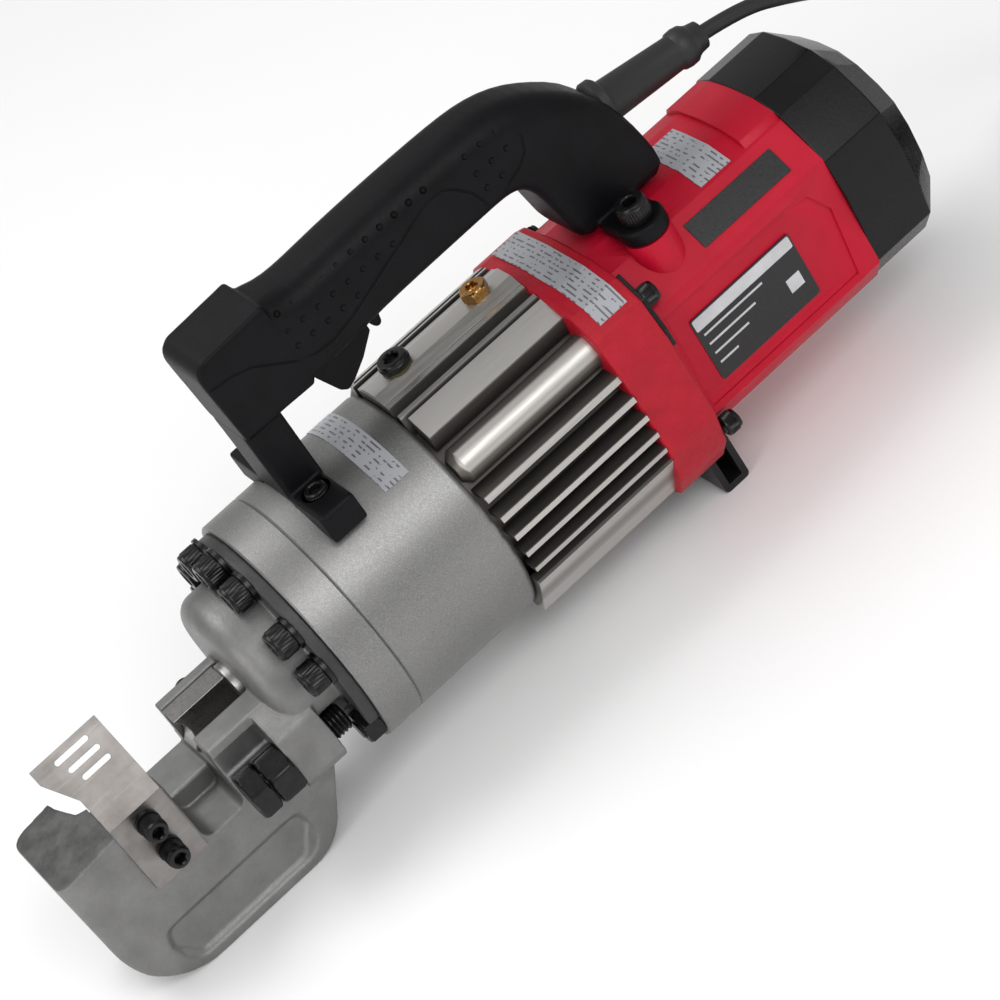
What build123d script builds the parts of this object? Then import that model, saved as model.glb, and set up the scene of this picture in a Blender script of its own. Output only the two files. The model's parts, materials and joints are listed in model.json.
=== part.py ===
from build123d import *
import math
import os

# Electro-hydraulic hand-held rebar cutter, millimetres.
# Working axes: X runs along the hydraulic cylinder towards the motor's tail, X = 0 at the seam between the
# front ring and the pump housing, Y = Z = 0 on the cylinder's axis, -Y is the nameplate side, +Z the handle.
# Every solid is moved at the end so that the row's origin is the middle of the footprint on the bench.

# driving dimensions
HEAD_END_X = -140.5
TAIL_END_X = 272.0
BENCH_Z = -67.5
BODY_R = 50.0
RING_X0 = -16.0
FLANGE_X0 = -21.0
HOUSING_X1 = 57.0
GEARBOX_X1 = 123.0
BAND_X1 = 146.0
MOTOR_X1 = 233.0
HEAD_HALF = 22.5
THROAT_X0, THROAT_X1 = -89.0, -69.0
ROD_R = 10.5
BORE_R = 30.0
BORE_X1 = 30.0
CHANNEL_Z = -11.0
STROKE = 25.0
BOLT_Y, BOLT_Z = -33.0, -16.7
BOLT_TIP_X = -24.5
SCREW_PCD_R = 43.0
SCREW_ANGLES = [-76.5, -54, -22.5, 0, 22.5, 54, 76.5]
STUD_ANGLES = [-128, 128]
GRIP_HALF = 15.0
HANDLE_WALL = 3.0
FRONT_SCREW_X, FRONT_SCREW_Y = 17.5, 20.0
REAR_SCREW_X, REAR_SCREW_Y = 167.0, 29.0
GEAR_Z = -22.0
CORD_D = 6.0
FIT = 0.05
LABEL_THICK = 0.3
GAP = 0.3

# the row's origin: middle of the length, bench height
SHIFT = Location((-(HEAD_END_X + TAIL_END_X) / 2, 0, -BENCH_Z))


def save(name, shape):
    """Moves the solid or group into the row frame and writes its STEP."""
    solids = list(shape.solids())
    body = solids[0] if len(solids) == 1 else Compound(solids)
    moved = body.moved(SHIFT)
    export_step(moved, os.path.join("parts", name + ".step"))
    box = moved.bounding_box()
    print(name, len(solids), [round(v, 1) for v in (*box.min, *box.max)])


def block(x0, x1, y0, y1, z0, z1):
    """A box given by its two corners."""
    size = (x1 - x0, y1 - y0, z1 - z0)
    return Pos((x0 + x1) / 2, (y0 + y1) / 2, (z0 + z1) / 2) * Box(*size)


def rod_x(x0, x1, radius, y=0.0, z=0.0):
    """A cylinder along X."""
    return Pos((x0 + x1) / 2, y, z) * Rot(0, 90, 0) * Cylinder(radius, x1 - x0)


def rod_y(y0, y1, radius, x, z):
    """A cylinder along Y."""
    return Pos(x, (y0 + y1) / 2, z) * Rot(90, 0, 0) * Cylinder(radius, y1 - y0)


def rod_z(z0, z1, radius, x, y):
    """A cylinder along Z."""
    return Pos(x, y, (z0 + z1) / 2) * Cylinder(radius, z1 - z0)


def plate_y(points, y0, y1, corners=()):
    """A side outline, in X and Z, swept from y0 to y1; corners pairs a point's index with a fillet radius."""
    face = Plane.XZ * make_outline(points, corners)
    return Pos(0, y1, 0) * extrude(face, y1 - y0)


def plate_x(points, x0, x1, corners=()):
    """A cross-section, in Y and Z, swept from x0 to x1."""
    face = Plane.YZ * make_outline(points, corners)
    return Pos(x0, 0, 0) * extrude(face, x1 - x0)


def plate_z(points, z0, z1, corners=()):
    """A plan outline, in X and Y, swept from z0 to z1."""
    return Pos(0, 0, z0) * extrude(make_outline(points, corners), z1 - z0)


def make_outline(points, corners=()):
    """A polygon face with some of its corners rounded."""
    face = make_face(Polyline(*points, close=True))
    for index, radius in corners:
        x, y = points[index]
        near = sorted(face.vertices(), key=lambda v: (v.X - x) ** 2 + (v.Y - y) ** 2)[0]
        face = fillet(near, radius)
    return face


def mirrored(points):
    """A right-hand half outline completed by its mirror image in the second axis."""
    return points + [(-a, b) for a, b in reversed(points)]


def hex_x(x0, x1, across_flats, y, z):
    """A hexagonal bar along X with two corners up and down."""
    radius = across_flats / math.sqrt(3)
    turns = [math.radians(60 * i) for i in range(6)]
    corners = [(radius * math.sin(turn), radius * math.cos(turn)) for turn in turns]
    return Pos(0, y, z) * plate_x(corners, x0, x1)


def cap_screw_x(x_seat, head_r, head_h, shank_r, shank_l, y, z):
    """A socket head screw along X whose head stands on the -X side of its seat."""
    body = rod_x(x_seat - head_h, x_seat, head_r, y, z) + rod_x(x_seat, x_seat + shank_l, shank_r, y, z)
    head_edge = body.edges().filter_by(GeomType.CIRCLE).sort_by(Axis.X)[0]
    body = chamfer(head_edge, 0.8)
    socket = hex_x(x_seat - head_h - 1, x_seat - head_h / 2, head_r * 0.95, y, z)
    return body - socket


def cap_screw_z(z_seat, head_r, head_h, shank_r, shank_l, x, y):
    """A socket head screw along Z with its head up."""
    body = rod_z(z_seat, z_seat + head_h, head_r, x, y) + rod_z(z_seat - shank_l, z_seat, shank_r, x, y)
    head_edge = body.edges().filter_by(GeomType.CIRCLE).sort_by(Axis.Z)[-1]
    body = chamfer(head_edge, 0.6)
    socket = Pos(x, y, z_seat + head_h / 2) * extrude(RegularPolygon(head_r * 0.55, 6), head_h)
    return body - socket


def polar(radius, degrees):
    """Y and Z of a point at an angle from +Z towards -Y."""
    angle = math.radians(degrees)
    return -radius * math.sin(angle), radius * math.cos(angle)


# ---------------------------------------------------------------- cutter head

def jaw_top(x):
    """Height of the milled top of the jaw, which rises gently towards the throat."""
    return 0.104 * (x + 136)


def cutter_head():
    """One steel casting: C-shaped jaw, throat, cutter channel, stopper lug, dome and bolting flange."""
    outline = [(HEAD_END_X, jaw_top(HEAD_END_X)), (HEAD_END_X + 1, BENCH_Z), (-53.5, BENCH_Z), (-35, -36),
               (-30, -11), (THROAT_X1 - 1, -11), (THROAT_X1 - 1, 6), (-88, 6), (-88, jaw_top(-88))]
    jaw = plate_y(outline, -HEAD_HALF, HEAD_HALF, [(1, 30), (2, 22), (3, 5)])
    neck = block(-70, -30, -21.5, 17.5, -36, 6)
    lip = block(-70, -34, -27, -14.3, 1.5, 6)
    lug_section = [(-18, 6), (-27, 6), (-37, -4), (-41, -14), (-41, -24), (-36, -29), (-18, -29)]
    lug = plate_x(lug_section, -50.5, -32.5, [(1, 4), (2, 6), (3, 5), (4, 4), (5, 4)])
    dome = rod_x(-43.5, FLANGE_X0, 35.5)
    dome = fillet(dome.edges().filter_by(GeomType.CIRCLE).sort_by(Axis.X)[0], 8)
    flange = rod_x(FLANGE_X0, RING_X0, 47.5)
    head = jaw + neck + lip + lug + dome + flange
    near_throat = plate_y([(THROAT_X0, 40), (THROAT_X0, -25.5), (THROAT_X1 - 1, -25.5), (THROAT_X1 - 1, 40)],
                          -50, 0.01, [(1, 5), (2, 4)])
    far_half = [(-70, 0), (-113, 0), (-113, 3), (-117, 5), (-121, 18), (-124, 40), (-70, 40)]
    far_throat = plate_z(far_half, -17, 40)
    channel = block(-75, -43.5, -14.3, 12, CHANNEL_Z, 40)
    cutter_seat = block(-113, -88, -11.5, 0, -12, 30)
    rod_bore = rod_x(-80, 0, ROD_R + FIT)
    spring_bore = rod_x(-36, 0, 20)
    bolt_bore = rod_x(-52, -32, 6 + FIT, BOLT_Y, BOLT_Z)
    bolt_groove = rod_x(-33, -20, 7.2, BOLT_Y, BOLT_Z)
    nut_space = block(-71, -50.5, -60, -HEAD_HALF, -32.5, 1.5)
    head = head - near_throat - far_throat - channel - cutter_seat - rod_bore - spring_bore
    head = head - bolt_bore - bolt_groove - nut_space
    for y in (-HEAD_HALF, HEAD_HALF - 1):
        head = head - plate_y([(-122, -43), (-122, -63.5), (-57, -63.5), (-57, -43)], y, y + 1,
                              [(i, 9) for i in range(4)])
    for angle in SCREW_ANGLES:
        y, z = polar(SCREW_PCD_R, angle)
        head = head - rod_x(-35, 0, 4.2, y, z)
    for angle in STUD_ANGLES:
        head = head - rod_x(-32, 0, 9.0, *polar(SCREW_PCD_R, angle))
    head = head - rod_y(-30, -11, 3.0, -101, -0.5) - rod_y(-30, -8, 3.0, -101, -15)
    head = head - rod_y(11, 23, 2.6, -57, -1)
    return head


def fixed_cutter():
    """Hardened block in the near half of the jaw, with a hollow-ground cutting edge facing the throat."""
    blade = block(-113, -90, -11.5, -0.3, -12, 2.2)
    hollow = rod_y(-20, 5, 11, -82, -2)
    return blade - hollow - rod_y(-12, -4, 3.0, -101, -0.5)


def moving_cutter():
    """Hardened block carried by the piston rod, sliding past the fixed one in the far half."""
    blade = block(-70, -46, 0.4, 10.8, CHANNEL_Z + GAP, 6)
    hollow = rod_y(-2, 14, 11, -78, -2)
    return blade - hollow - rod_x(-65, -45, 3.0, 5.6, -2)


def moving_cutter_screw():
    """Screw that holds the moving cutter on the end of the piston rod."""
    return rod_x(-64, -34, 3.0, 5.6, -2)


def guard_plate():
    """Bent stainless guard in front of the throat, with three slots in its leaning upper half."""
    lower = block(-113.3, -90, -HEAD_HALF - 1.5, -HEAD_HALF, -26.5, 7)
    lean = [(-113.3, -1.2), (-90, -1.2), (-90, 33), (-120, 33), (-120, 27), (-113.3, 14)]
    upper = extrude(make_outline(lean), 1.5)
    for height, left, right in ((29, -111.5, -96.5), (24, -109.5, -95.5), (19, -107.5, -95)):
        slot = Pos((left + right) / 2, height, 0) * extrude(SlotOverall(right - left, 2.2), 4, both=True)
        upper = upper - slot
    upper = Pos(0, -HEAD_HALF, 7) * Rot(59, 0, 0) * upper
    plate = lower + upper
    return plate - rod_y(-30, -20, 3.0, -101, -0.5) - rod_y(-30, -20, 3.0, -101, -15)


def guard_screws():
    """Two socket head screws through the guard."""
    seat = -HEAD_HALF - 3.5
    group = []
    for z, tip in ((-0.5, -4.5), (-15, -9)):
        screw = rod_y(seat - 8, seat, 4.5, -101, z) + rod_y(seat, tip, 2.9, -101, z)
        rim = screw.edges().filter_by(GeomType.CIRCLE).sort_by(Axis.Y)[0]
        screw = chamfer(rim, 0.6) - rod_y(seat - 9, seat - 4, 2.3, -101, z)
        group.append(screw)
    return Compound(group)


def guard_washers():
    """Spring washers under the guard screws."""
    seat = -HEAD_HALF - 1.5
    return Compound([rod_y(seat - 2, seat, 4.8, -101, z) - rod_y(seat - 3, seat + 1, 3.1, -101, z)
                     for z in (-0.5, -15)])


def stopper_bolt():
    """Adjusting bolt parallel to the cylinder: its head stops the bar's free end from tilting."""
    bolt = hex_x(-69.5, -61.5, 18.5, BOLT_Y, BOLT_Z) + rod_x(-61.5, BOLT_TIP_X, 6.0, BOLT_Y, BOLT_Z)
    tip = bolt.edges().filter_by(GeomType.CIRCLE).sort_by(Axis.X)[-1]
    bolt = chamfer(tip, 1.0)
    return bolt & rod_x(-69.5, BOLT_TIP_X, 10.5, BOLT_Y, BOLT_Z)


def stopper_locknut():
    """Nut that locks the stopper bolt against its lug."""
    nut = hex_x(-60.9, -50.5, 19, BOLT_Y, BOLT_Z) & rod_x(-60.9, -50.5, 10.7, BOLT_Y, BOLT_Z)
    return nut - rod_x(-62, -50, 6 + FIT, BOLT_Y, BOLT_Z)


def cutter_guide_screw():
    """Screw in the channel's far wall that keeps the moving cutter down in its channel."""
    return rod_y(17.5, 22.5, 4.0, -57, -1) + rod_y(12.2, 17.5, 2.6, -57, -1)


def head_screws():
    """Ring of socket head screws that bolt the head to the cylinder."""
    seat = FLANGE_X0 - 1.6
    return Compound([cap_screw_x(seat, 6.2, 8.0, 4.0, 16.0, *polar(SCREW_PCD_R, a)) for a in SCREW_ANGLES])


def head_washers():
    """Washers under the head screws."""
    group = []
    for angle in SCREW_ANGLES:
        y, z = polar(SCREW_PCD_R, angle)
        group.append(rod_x(FLANGE_X0 - 1.6, FLANGE_X0, 6.9, y, z) - rod_x(-30, -10, 4.2, y, z))
    return Compound(group)


def head_studs():
    """Two lower studs with hexagon nuts, where the lug leaves no room for a screw."""
    group = []
    for angle in STUD_ANGLES:
        y, z = polar(SCREW_PCD_R, angle)
        group.append(rod_x(-24.3, -6, 4.0, y, z) + hex_x(RING_X0 - 7.5, RING_X0, 13, y, z))
    return Compound(group)


# ---------------------------------------------------------------- hydraulic end

def front_ring():
    """Front cover of the cylinder."""
    ring = rod_x(RING_X0, 0, BODY_R)
    ring = chamfer(ring.edges().filter_by(GeomType.CIRCLE), 0.6)
    ring = ring - rod_x(RING_X0 - 1, 1, BORE_R)
    for angle in SCREW_ANGLES + STUD_ANGLES:
        y, z = polar(SCREW_PCD_R, angle)
        ring = ring - rod_x(RING_X0 - 1, -6, 4.0, y, z)
    return ring


def pump_housing():
    """Round housing behind the ring: cylinder chamber in front, pump room behind."""
    housing = rod_x(0, HOUSING_X1, BODY_R)
    rims = housing.edges().filter_by(GeomType.CIRCLE).sort_by(Axis.X)
    housing = chamfer(rims[0], 0.6)
    housing = fillet(housing.edges().filter_by(GeomType.CIRCLE).sort_by(Axis.X)[-1], 2.5)
    housing = housing - rod_x(-1, BORE_X1, BORE_R) - rod_x(42, HOUSING_X1 + 1, 40)
    oil_way = rod_x(BORE_X1 - 1, 43, 3.0, 0, 14)
    return housing - oil_way - front_screw_holes()


def front_screw_holes():
    """Tapped holes for the handle's front screws."""
    holes = [rod_z(28, 60, 3.0, FRONT_SCREW_X, side * FRONT_SCREW_Y) for side in (-1, 1)]
    return holes[0] + holes[1]


def piston():
    """Piston and rod in one piece, shown drawn back."""
    body = rod_x(9.5, 24, BORE_R - FIT) + rod_x(-46, 9.5, ROD_R)
    groove = rod_x(14, 18, 31) - rod_x(14, 18, 26)
    return body - groove - rod_x(-47, -34, 3.0, 5.6, -2)


def piston_seal():
    """Ring seal in the piston's groove."""
    return rod_x(14, 18, BORE_R - FIT) - rod_x(14, 18, 26)


def return_spring():
    """Envelope of the coil spring that pushes the piston back."""
    return rod_x(-36, 9.5, 17) - rod_x(-37, 10, 12.5)


def pump_block():
    """Steel block that holds the plunger's bore, behind the housing's web."""
    body = block(42, 84, -16, 16, -5, 30)
    body = body - rod_z(-6, 20, 5 + FIT, 79, 0) - rod_x(41, 79, 3.0, 0, 14)
    return body


def pump_plunger():
    """Plunger that the eccentric pushes up."""
    return rod_z(-6.2, 10, 5.0, 79, 0)


def plunger_spring():
    """Envelope of the spring above the plunger."""
    return rod_z(10, 20, 4.6, 79, 0) - rod_z(9, 21, 3.2, 79, 0)


def return_valve():
    """Return valve spool across the pump block."""
    return rod_y(-24, -16, 5.0, 56, 20) + rod_y(-28, -24, 3.5, 56, 20)


# ---------------------------------------------------------------- gear housing

FIN_HEIGHTS = [20.6, 11.8, 3.0, -5.8, -14.6]
TOP_FINS = [10.5, 17.5]
FIN_R = 53.2
ROOT_R = 44.5


def gear_housing():
    """Finned aluminium oil housing around the reduction gear and the eccentric."""
    x0, x1 = HOUSING_X1, GEARBOX_X1
    outer = rod_x(x0, x1, FIN_R)
    shell = rod_x(x0, x1, ROOT_R)
    shell = shell + plate_x(mirrored([(4.5, 55), (9.3, 52.5), (9.3, 40)]), x0, x1)
    for side in (-1, 1):
        for y in TOP_FINS:
            shell = shell + (block(x0, x1, side * y - 0.9, side * y + 0.9, 30, 60) & outer)
        strip = [(side * 20.5, 49.4), (side * 30.3, 43.9), (side * 28.3, 36), (side * 20.5, 38)]
        shell = shell + plate_x(strip, x0 + 2, x1)
        boss = rod_x(x0 + 1, x1, 7.5, side * 35.5, 29.8)
        shell = shell + chamfer(boss.edges().filter_by(GeomType.CIRCLE).sort_by(Axis.X)[0], 3)
        for z in FIN_HEIGHTS:
            near, far = sorted((side * 36, side * 60))
            shell = shell + (block(x0 + 1.5, x1, near, far, z - 1.1, z + 1.1) & outer)
        foot = [(side * 44, -20), (side * 50, -21), (side * 31, -46), (side * 27, -48.5), (side * 20, -42)]
        shell = shell + plate_x(foot, x0, x1)
    inside = rod_x(x0 - 1, 119, 40.5)
    shell = shell - inside - rod_x(118, 124, 12) - rod_x(118, 121, 10.02, 0, GEAR_Z)
    shell = shell - rod_z(45, 60, 4.5, 71, 0) - rod_z(45, 60, 3.0, 110, 0)
    return shell


def oil_plug():
    """Socket plug of the oil filler."""
    plug = rod_z(56.2, 60.0, 6.3, 71, 0) + rod_z(46, 56.2, 4.4, 71, 0)
    plug = chamfer(plug.edges().filter_by(GeomType.CIRCLE).sort_by(Axis.Z)[-1], 0.8)
    return plug - Pos(71, 0, 57) * extrude(RegularPolygon(3.2, 6), 5)


def oil_plug_seal():
    """Sealing ring under the plug."""
    return rod_z(55, 56.2, 6.0, 71, 0) - rod_z(54, 57, 4.5, 71, 0)


def bleed_screw():
    """Brass hexagon screw that vents the oil."""
    head = Pos(110, 0, 55) * extrude(RegularPolygon(5.7, 6), 4.6)
    head = head & Pos(110, 0, 55) * Cone(9.6, 3.4, 6.2, align=(Align.CENTER, Align.CENTER, Align.MIN))
    return head + rod_z(46, 55, 2.9, 110, 0)


def eccentric_shaft():
    """Eccentric shaft with its drive gear."""
    shaft = rod_x(60, 118.5, 6.0, 0, GEAR_Z) + rod_x(71, 87, 9.0, 0, GEAR_Z + 2.5)
    gear = rod_x(98, 110, 16.8, 0, GEAR_Z)
    for i in range(24):
        y, z = polar(17.4, i * 15)
        gear = gear - rod_x(97, 111, 1.3, y, z + GEAR_Z)
    return shaft + gear


def needle_bearing():
    """Needle bearing around the eccentric."""
    return rod_x(72, 86, 13.0, 0, GEAR_Z + 2.5) - rod_x(71, 87, 9.0, 0, GEAR_Z + 2.5)


def shaft_bearings():
    """The eccentric shaft's two ball bearings."""
    front = rod_x(60, 66, 11.0, 0, GEAR_Z) - rod_x(59, 67, 6 + FIT, 0, GEAR_Z)
    rear = rod_x(114, 121, 10.0, 0, GEAR_Z) - rod_x(113, 122, 6 + FIT, 0, GEAR_Z)
    return Compound([front, rear])


def bearing_bridge():
    """Bridge across the housing that carries the eccentric shaft's front bearing."""
    bridge = block(60, 66, -36, 36, GEAR_Z - 14, GEAR_Z + 14) & rod_x(60, 66, 40.5)
    return bridge - rod_x(59, 67, 11.0, 0, GEAR_Z)


# ---------------------------------------------------------------- motor end

# half outlines in Y and Z, from the top round to the bottom
BAND_HALF = [(0, 51), (24, 49.6), (38, 45.5), (47, 38), (51, 21), (51, -18), (45, -35), (34, -47), (27, -49),
             (0, -49)]
MOTOR_HALF = [(0, 46.5), (14, 46.0), (27, 41.5), (42.5, 27.5), (42.5, -24), (34, -34), (20, -43), (0, -44)]
CAP_HALF = [(0, 49), (15, 48), (27, 43.5), (37, 34), (43, 26), (45, 10), (43.5, -8), (40, -25), (30, -36),
            (0, -44)]
CAP_END = [(0, 38), (12, 37), (21, 33), (29, 26), (34, 19), (35.5, 8), (34.5, -6), (31, -19), (23, -28),
           (0, -35)]


def ring_outline(half):
    """A closed outline from its half, whose first and last points are on the axis of symmetry."""
    return half + [(-a, b) for a, b in reversed(half[1:-1])]


def motor_flange():
    """Red cast flange between the gear housing and the motor."""
    band = plate_x(ring_outline(BAND_HALF), GEARBOX_X1, BAND_X1)
    band = band - rod_x(GEARBOX_X1 - 1, 140, 36) - rod_x(139, BAND_X1 + 1, 11.0)
    for y, z in BAND_SCREWS:
        band = band - rod_x(BAND_X1 - 12, BAND_X1 + 1, 2.5, y, z)
    return band - rod_z(-50, -41, 2.5, 133, 15) - rod_z(-50, -41, 2.5, 133, -15)


def motor_housing():
    """Red plastic motor case with its side panels, rear step and screw bosses."""
    body = plate_x(ring_outline(MOTOR_HALF), BAND_X1, MOTOR_X1)
    rear = [(0, 48.5), (14, 47.7), (24, 44.8), (26.5, 41), (20, 30), (0, 30)]
    body = body + plate_x(ring_outline(rear), 216, MOTOR_X1)
    body = body - rod_x(BAND_X1 - 1, MOTOR_X1 + 1, 39)
    for side in (-1, 1):
        recess = [(152, 19.7), (221, 19.7), (227, 8), (224, -22), (150, -22)]
        cut = plate_y(recess, -1.8, 1.8)
        body = body - Pos(0, side * 42.5, 0) * cut
        body = body + rod_z(27, 46, 9.0, REAR_SCREW_X, side * REAR_SCREW_Y) - rod_x(147, 233, 39)
        body = body - rod_z(20, 50, 3.0, REAR_SCREW_X, side * REAR_SCREW_Y)
    return body


def tail_cap():
    """Black faceted end cap of the motor with its air slots."""
    straight = plate_x(ring_outline(CAP_HALF), MOTOR_X1, 261)
    sections = []
    for half, x in ((CAP_HALF, 261), (CAP_END, TAIL_END_X)):
        sections.append(Pos(x, 0, 0) * (Plane.YZ * make_outline(ring_outline(half))))
    taper = loft(sections, ruled=True)
    cap = straight + taper
    cap = cap - rod_x(MOTOR_X1 - 1, 258, 38) - rod_x(257, 264, 9.5)
    for i in range(-3, 4):
        cap = cap - block(265, 275, i * 6.5 - 1.4, i * 6.5 + 1.4, -18, 18)
    return cap


def stator():
    """Field winding ring fixed in the motor case."""
    return rod_x(168, 212, 38.9) - rod_x(167, 213, 24)


def armature():
    """Motor shaft with laminations, windings and pinion."""
    shaft = rod_x(112, 262, 4.0)
    stack = rod_x(170, 210, 23) + rod_x(162, 170, 17) + rod_x(210, 218, 17)
    pinion = rod_x(97, 112, 4.9)
    for i in range(8):
        y, z = polar(5.3, i * 45 + 22.5)
        pinion = pinion - rod_x(96, 112, 1.2, y, z)
    return shaft + stack + pinion


def commutator():
    """Copper commutator on the shaft."""
    return rod_x(221, 236, 12) - rod_x(220, 237, 4.0)


def cooling_fan():
    """Fan on the shaft behind the flange."""
    hub = rod_x(149, 160, 9)
    disc = rod_x(149, 151, 35)
    fan = hub + disc
    for i in range(12):
        fan = fan + Rot(30 * i, 0, 0) * block(151, 160, -0.8, 0.8, 8, 34)
    return fan - rod_x(148, 161, 4.0)


def motor_bearings():
    """Front and rear ball bearings of the motor shaft."""
    front = rod_x(140, BAND_X1, 11.0) - rod_x(139, 147, 4 + FIT)
    rear = rod_x(258, 264, 9.5) - rod_x(257, 265, 4 + FIT)
    return Compound([front, rear])


def brush_holders():
    """Two brush holders beside the commutator."""
    group = []
    for side in (-1, 1):
        near, far = sorted((side * 15, side * 34))
        holder = block(223, 233, near, far, -6, 6) - block(224.5, 231.5, near - 1, far + 1, -4, 4)
        group.append(holder)
    return Compound(group)


def carbon_brushes():
    """Carbon brushes in their holders."""
    group = []
    for side in (-1, 1):
        near, far = sorted((side * 12.3, side * 28))
        group.append(block(224.5, 231.5, near, far, -4, 4))
    return Compound(group)


def support_foot():
    """Bent steel strap under the flange that the motor end stands on."""
    half = 27.0
    strap = plate_y([(126, -51.8), (140.5, -51.8), (140.5, BENCH_Z), (152.5, BENCH_Z), (152.5, -36),
                     (149.7, -36), (149.7, BENCH_Z + 2.8), (143.3, BENCH_Z + 2.8), (143.3, -49), (126, -49)],
                    -half, half, [(2, 2), (3, 2)])
    window = block(143.8, 149.2, -7, 7, BENCH_Z - 1, BENCH_Z + 4)
    holes = rod_z(-55, -45, 2.6, 133, 15) + rod_z(-55, -45, 2.6, 133, -15)
    strap = strap - window - holes
    return strap - plate_x(ring_outline(MOTOR_HALF), BAND_X1, MOTOR_X1)


def foot_screws():
    """Screws that hold the strap up to the flange."""
    group = []
    for y in (-15, 15):
        group.append(rod_z(-55.3, -51.8, 4.5, 133, y) + rod_z(-51.8, -41, 2.5, 133, y))
    return Compound(group)


BAND_SCREWS = [(-41.5, 34.5), (41.5, 34.5), (-44, -30), (44, -30)]


def band_screws():
    """Screws with square clip plates on the flange's rear face."""
    group = []
    for y, z in BAND_SCREWS:
        clip = block(BAND_X1, BAND_X1 + 1.6, y - 4.4, y + 4.4, z - 4.4, z + 4.4)
        clip = clip - plate_x(ring_outline(MOTOR_HALF), BAND_X1 - 1, BAND_X1 + 3)
        head = rod_x(BAND_X1 + 1.6, BAND_X1 + 8, 4.3, y, z) - rod_x(BAND_X1 + 5, BAND_X1 + 9, 2.2, y, z)
        screw = head + clip + rod_x(BAND_X1 - 12, BAND_X1 + 2, 2.5, y, z)
        group.append(max(screw.solids(), key=lambda solid: solid.volume))
    return Compound(group)


# ---------------------------------------------------------------- handle

HANDLE_OUTER = [(9.5, 49), (9.5, 90), (8.2, 113), (13, 118), (42, 119.5), (47, 117), (56, 116), (76, 117),
                (106, 117.5), (140, 116.5), (150, 115), (163, 109.5), (175, 99), (182.5, 88), (186.5, 70),
                (188.5, 47), (151, 47), (147.5, 68), (145, 80), (138, 85), (76, 84.5), (72, 82.5), (42, 81.5),
                (26, 82.5), (25.3, 49)]
HANDLE_INNER = [(12.5, 88), (11.4, 112), (14, 115), (41, 116.4), (48, 114), (56, 113), (76, 114),
                (106, 114.5), (140, 113.5), (149, 112), (161, 107), (172.5, 97), (179.5, 87), (183.3, 70),
                (185, 50), (154.5, 50), (150.5, 69), (147.5, 83), (139, 88), (76, 87.5), (73, 86.5), (42, 86),
                (24, 86)]


def handle_body():
    """Outer form of the bridge handle, both halves together."""
    grip = plate_y(HANDLE_OUTER, -GRIP_HALF, GRIP_HALF)
    long_edges = grip.edges().filter_by(GeomType.LINE)
    top = [e for e in long_edges if e.center().Z > 108 and abs(abs(e.center().Y) - GRIP_HALF) < 0.01
           and 44 < e.center().X < 145]
    grip = chamfer(top, 3.5)
    leg_trim = [block(0, 30, *sorted((side * 13, side * 20)), 40, 83) for side in (-1, 1)]
    nub = plate_y([(70.8, 85), (70.8, 78), (72.5, 75), (75, 75), (76.5, 79), (80, 85)], -5, 5)
    return grip - leg_trim[0] - leg_trim[1] + nub


def handle_ears():
    """Feet of the handle: two saddle blocks in front and two ears behind."""
    ears = []
    for side in (-1, 1):
        near, far = sorted((side * 12.9, side * 36.5))
        ears.append(block(9.5, 24.5, near, far, 38, 52.5))
        near, far = sorted((side * 14.9, side * REAR_SCREW_Y))
        ear = block(157.5, 176.5, near, far, 46.3, 53)
        ears.append(ear + rod_z(46.3, 53, 9.5, REAR_SCREW_X, side * REAR_SCREW_Y))
    return ears


def handle_half(side):
    """One moulded half of the handle."""
    body = handle_body()
    for ear in handle_ears():
        body = body + ear
    body = body - plate_y(HANDLE_INNER, -GRIP_HALF + HANDLE_WALL, GRIP_HALF - HANDLE_WALL)
    body = body - rod_x(-1, 58, BODY_R + 0.02)
    for s in (-1, 1):
        body = body - rod_z(30, 60, 3.1, FRONT_SCREW_X, s * FRONT_SCREW_Y)
        body = body - rod_z(49.5, 60, 6.0, FRONT_SCREW_X, s * FRONT_SCREW_Y)
        body = body - rod_z(40, 60, 3.1, REAR_SCREW_X, s * REAR_SCREW_Y)
    body = body - block(42.5, 70.5, -6.4, 6.4, 75, 90)
    body = body - rod_x(180, 192, 8.0, 0, 80.5)
    body = body - plate_x(ring_outline(MOTOR_HALF), 146, 233) - block(140, 190, -50, 50, 20, 46.9)
    near, far = sorted((0, side * 60))
    half = body & block(0, 200, near, far, 20, 130)
    return max(half.solids(), key=lambda s: s.volume)


def trigger():
    """Wedge trigger under the grip, pressed up by the fingers."""
    outline = [(43.5, 98), (43.5, 78), (48.5, 67), (51, 65), (55, 66.5), (62, 71), (69.5, 77.5), (69.5, 90),
               (60, 98)]
    return plate_y(outline, -6, 6, [(3, 1.5)])


def trigger_spring():
    """Envelope of the trigger's spring."""
    return rod_z(98, 103, 3.0, 54, 0)


def switch_module():
    """Switch box over the trigger."""
    return block(44, 92, -9, 9, 103, 112) + block(72, 92, -9, 9, 90, 103)


def front_handle_screws():
    """Screws through the handle's saddle blocks into the pump housing."""
    return Compound([cap_screw_z(49.5, 4.6, 4.4, 3.0, 19, FRONT_SCREW_X, s * FRONT_SCREW_Y) for s in (-1, 1)])


def rear_handle_screws():
    """Screws through the handle's ears into the motor case."""
    return Compound([cap_screw_z(53, 6.2, 8, 3.0, 22, REAR_SCREW_X, s * REAR_SCREW_Y) for s in (-1, 1)])


# ---------------------------------------------------------------- mains lead

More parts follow.
